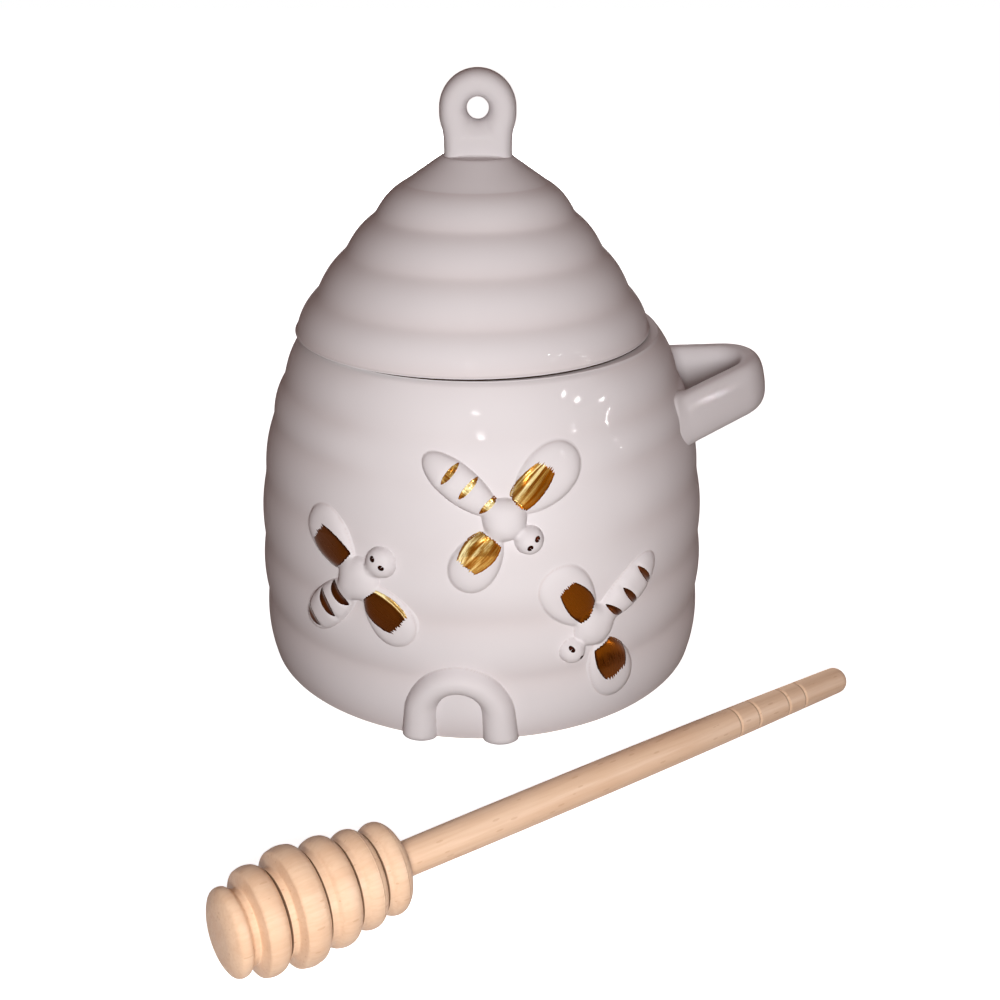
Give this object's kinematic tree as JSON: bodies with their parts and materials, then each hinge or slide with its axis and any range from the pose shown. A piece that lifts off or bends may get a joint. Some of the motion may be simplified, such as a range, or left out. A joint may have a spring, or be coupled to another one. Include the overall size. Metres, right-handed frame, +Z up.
{
  "type": "honey pot with lift-off lid and dipper",
  "caption": "Beehive-shaped glazed honey pot with coiled walls, lift-off domed lid with pierced knob, side loop, raised bees and doorway, and a turned wooden dipper.",
  "frame": {"origin": "centre of the pot's foot ring, on its axis, at the table", "axes": "+Z up along the pot's axis; -Y towards the front with the doorway and bees; +X towards the side loop"},
  "size_m": [0.1408, 0.1845, 0.139],
  "materials": {
    "glaze": "glossy warm off-white glaze",
    "gold_lustre": "brushed-on bright gold lustre",
    "beech": "bare sanded beech, fine grain"
  },
  "bodies": {
    "pot": {"pot_body": "glaze", "side_loop": "glaze", "door_arch": "glaze", "bee_top": "glaze", "bee_left": "glaze", "bee_right": "glaze", "bee_top_lustre": "gold_lustre", "bee_left_lustre": "gold_lustre", "bee_right_lustre": "gold_lustre"},
    "lid": {"lid_dome": "glaze", "lid_knob": "glaze"},
    "dipper": {"dipper_head": "beech", "dipper_handle": "beech"}
  },
  "joints": [
    {"name": "lid_lift", "type": "slide", "parent": "pot", "child": "lid", "axis": [0, 0, 1], "range_m": [0, 0.08]},
    {"name": "dipper_lift", "type": "slide", "parent": "pot", "child": "dipper", "axis": [0, 0, 1], "range_m": [0, 0.12]}
  ]
}
